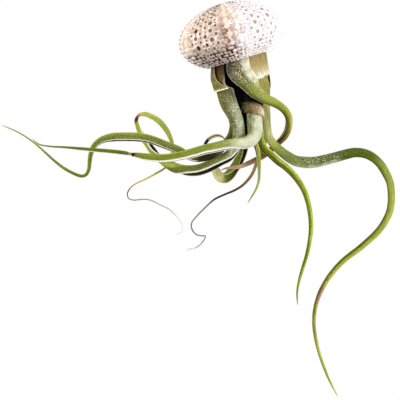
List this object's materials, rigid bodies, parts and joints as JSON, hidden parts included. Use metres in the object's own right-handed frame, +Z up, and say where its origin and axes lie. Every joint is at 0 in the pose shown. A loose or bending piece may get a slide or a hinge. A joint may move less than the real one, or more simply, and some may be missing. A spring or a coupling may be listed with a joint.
{
  "type": "air plant in a hanging sea-urchin shell",
  "caption": "Medusa's head air plant hanging head down out of a cleaned sea-urchin shell, its long channelled leaves curling out to both sides.",
  "frame": {"origin": "centre of the small hole in the top of the shell, by which it hangs", "axes": "+Z up through the hole, +X to the viewer's right, and +Y to the back of the plant"},
  "size_m": [0.2247, 0.0681, 0.2272],
  "materials": {
    "urchin_shell": "matt, finely bumpy",
    "glue_dab": "satin",
    "stem_base": "matt, fibrous",
    "leaf_front_loop": "matt, scurfy",
    "leaf_long_right": "matt, scurfy",
    "leaf_mid_right": "satin, lightly scurfy",
    "leaf_short_centre": "satin",
    "leaf_front_left": "matt, scurfy",
    "leaf_far_left": "matt, scurfy",
    "leaf_curled_left": "matt, scurfy",
    "leaf_hooked": "matt, scurfy",
    "leaf_dry_thread": "matt, dry",
    "old_sheath_left": "matt, dry",
    "old_sheath_right": "matt, papery",
    "old_sheath_centre": "matt, papery"
  },
  "bodies": {
    "root": {"urchin_shell": "urchin_shell", "glue_dab": "glue_dab", "stem_base": "stem_base", "leaf_front_loop": "leaf_front_loop", "leaf_long_right": "leaf_long_right", "leaf_mid_right": "leaf_mid_right", "leaf_short_centre": "leaf_short_centre", "leaf_front_left": "leaf_front_left", "leaf_far_left": "leaf_far_left", "leaf_curled_left": "leaf_curled_left", "leaf_hooked": "leaf_hooked", "leaf_dry_thread": "leaf_dry_thread", "old_sheath_left": "old_sheath_left", "old_sheath_right": "old_sheath_right", "old_sheath_centre": "old_sheath_centre"}
  },
  "joints": []
}
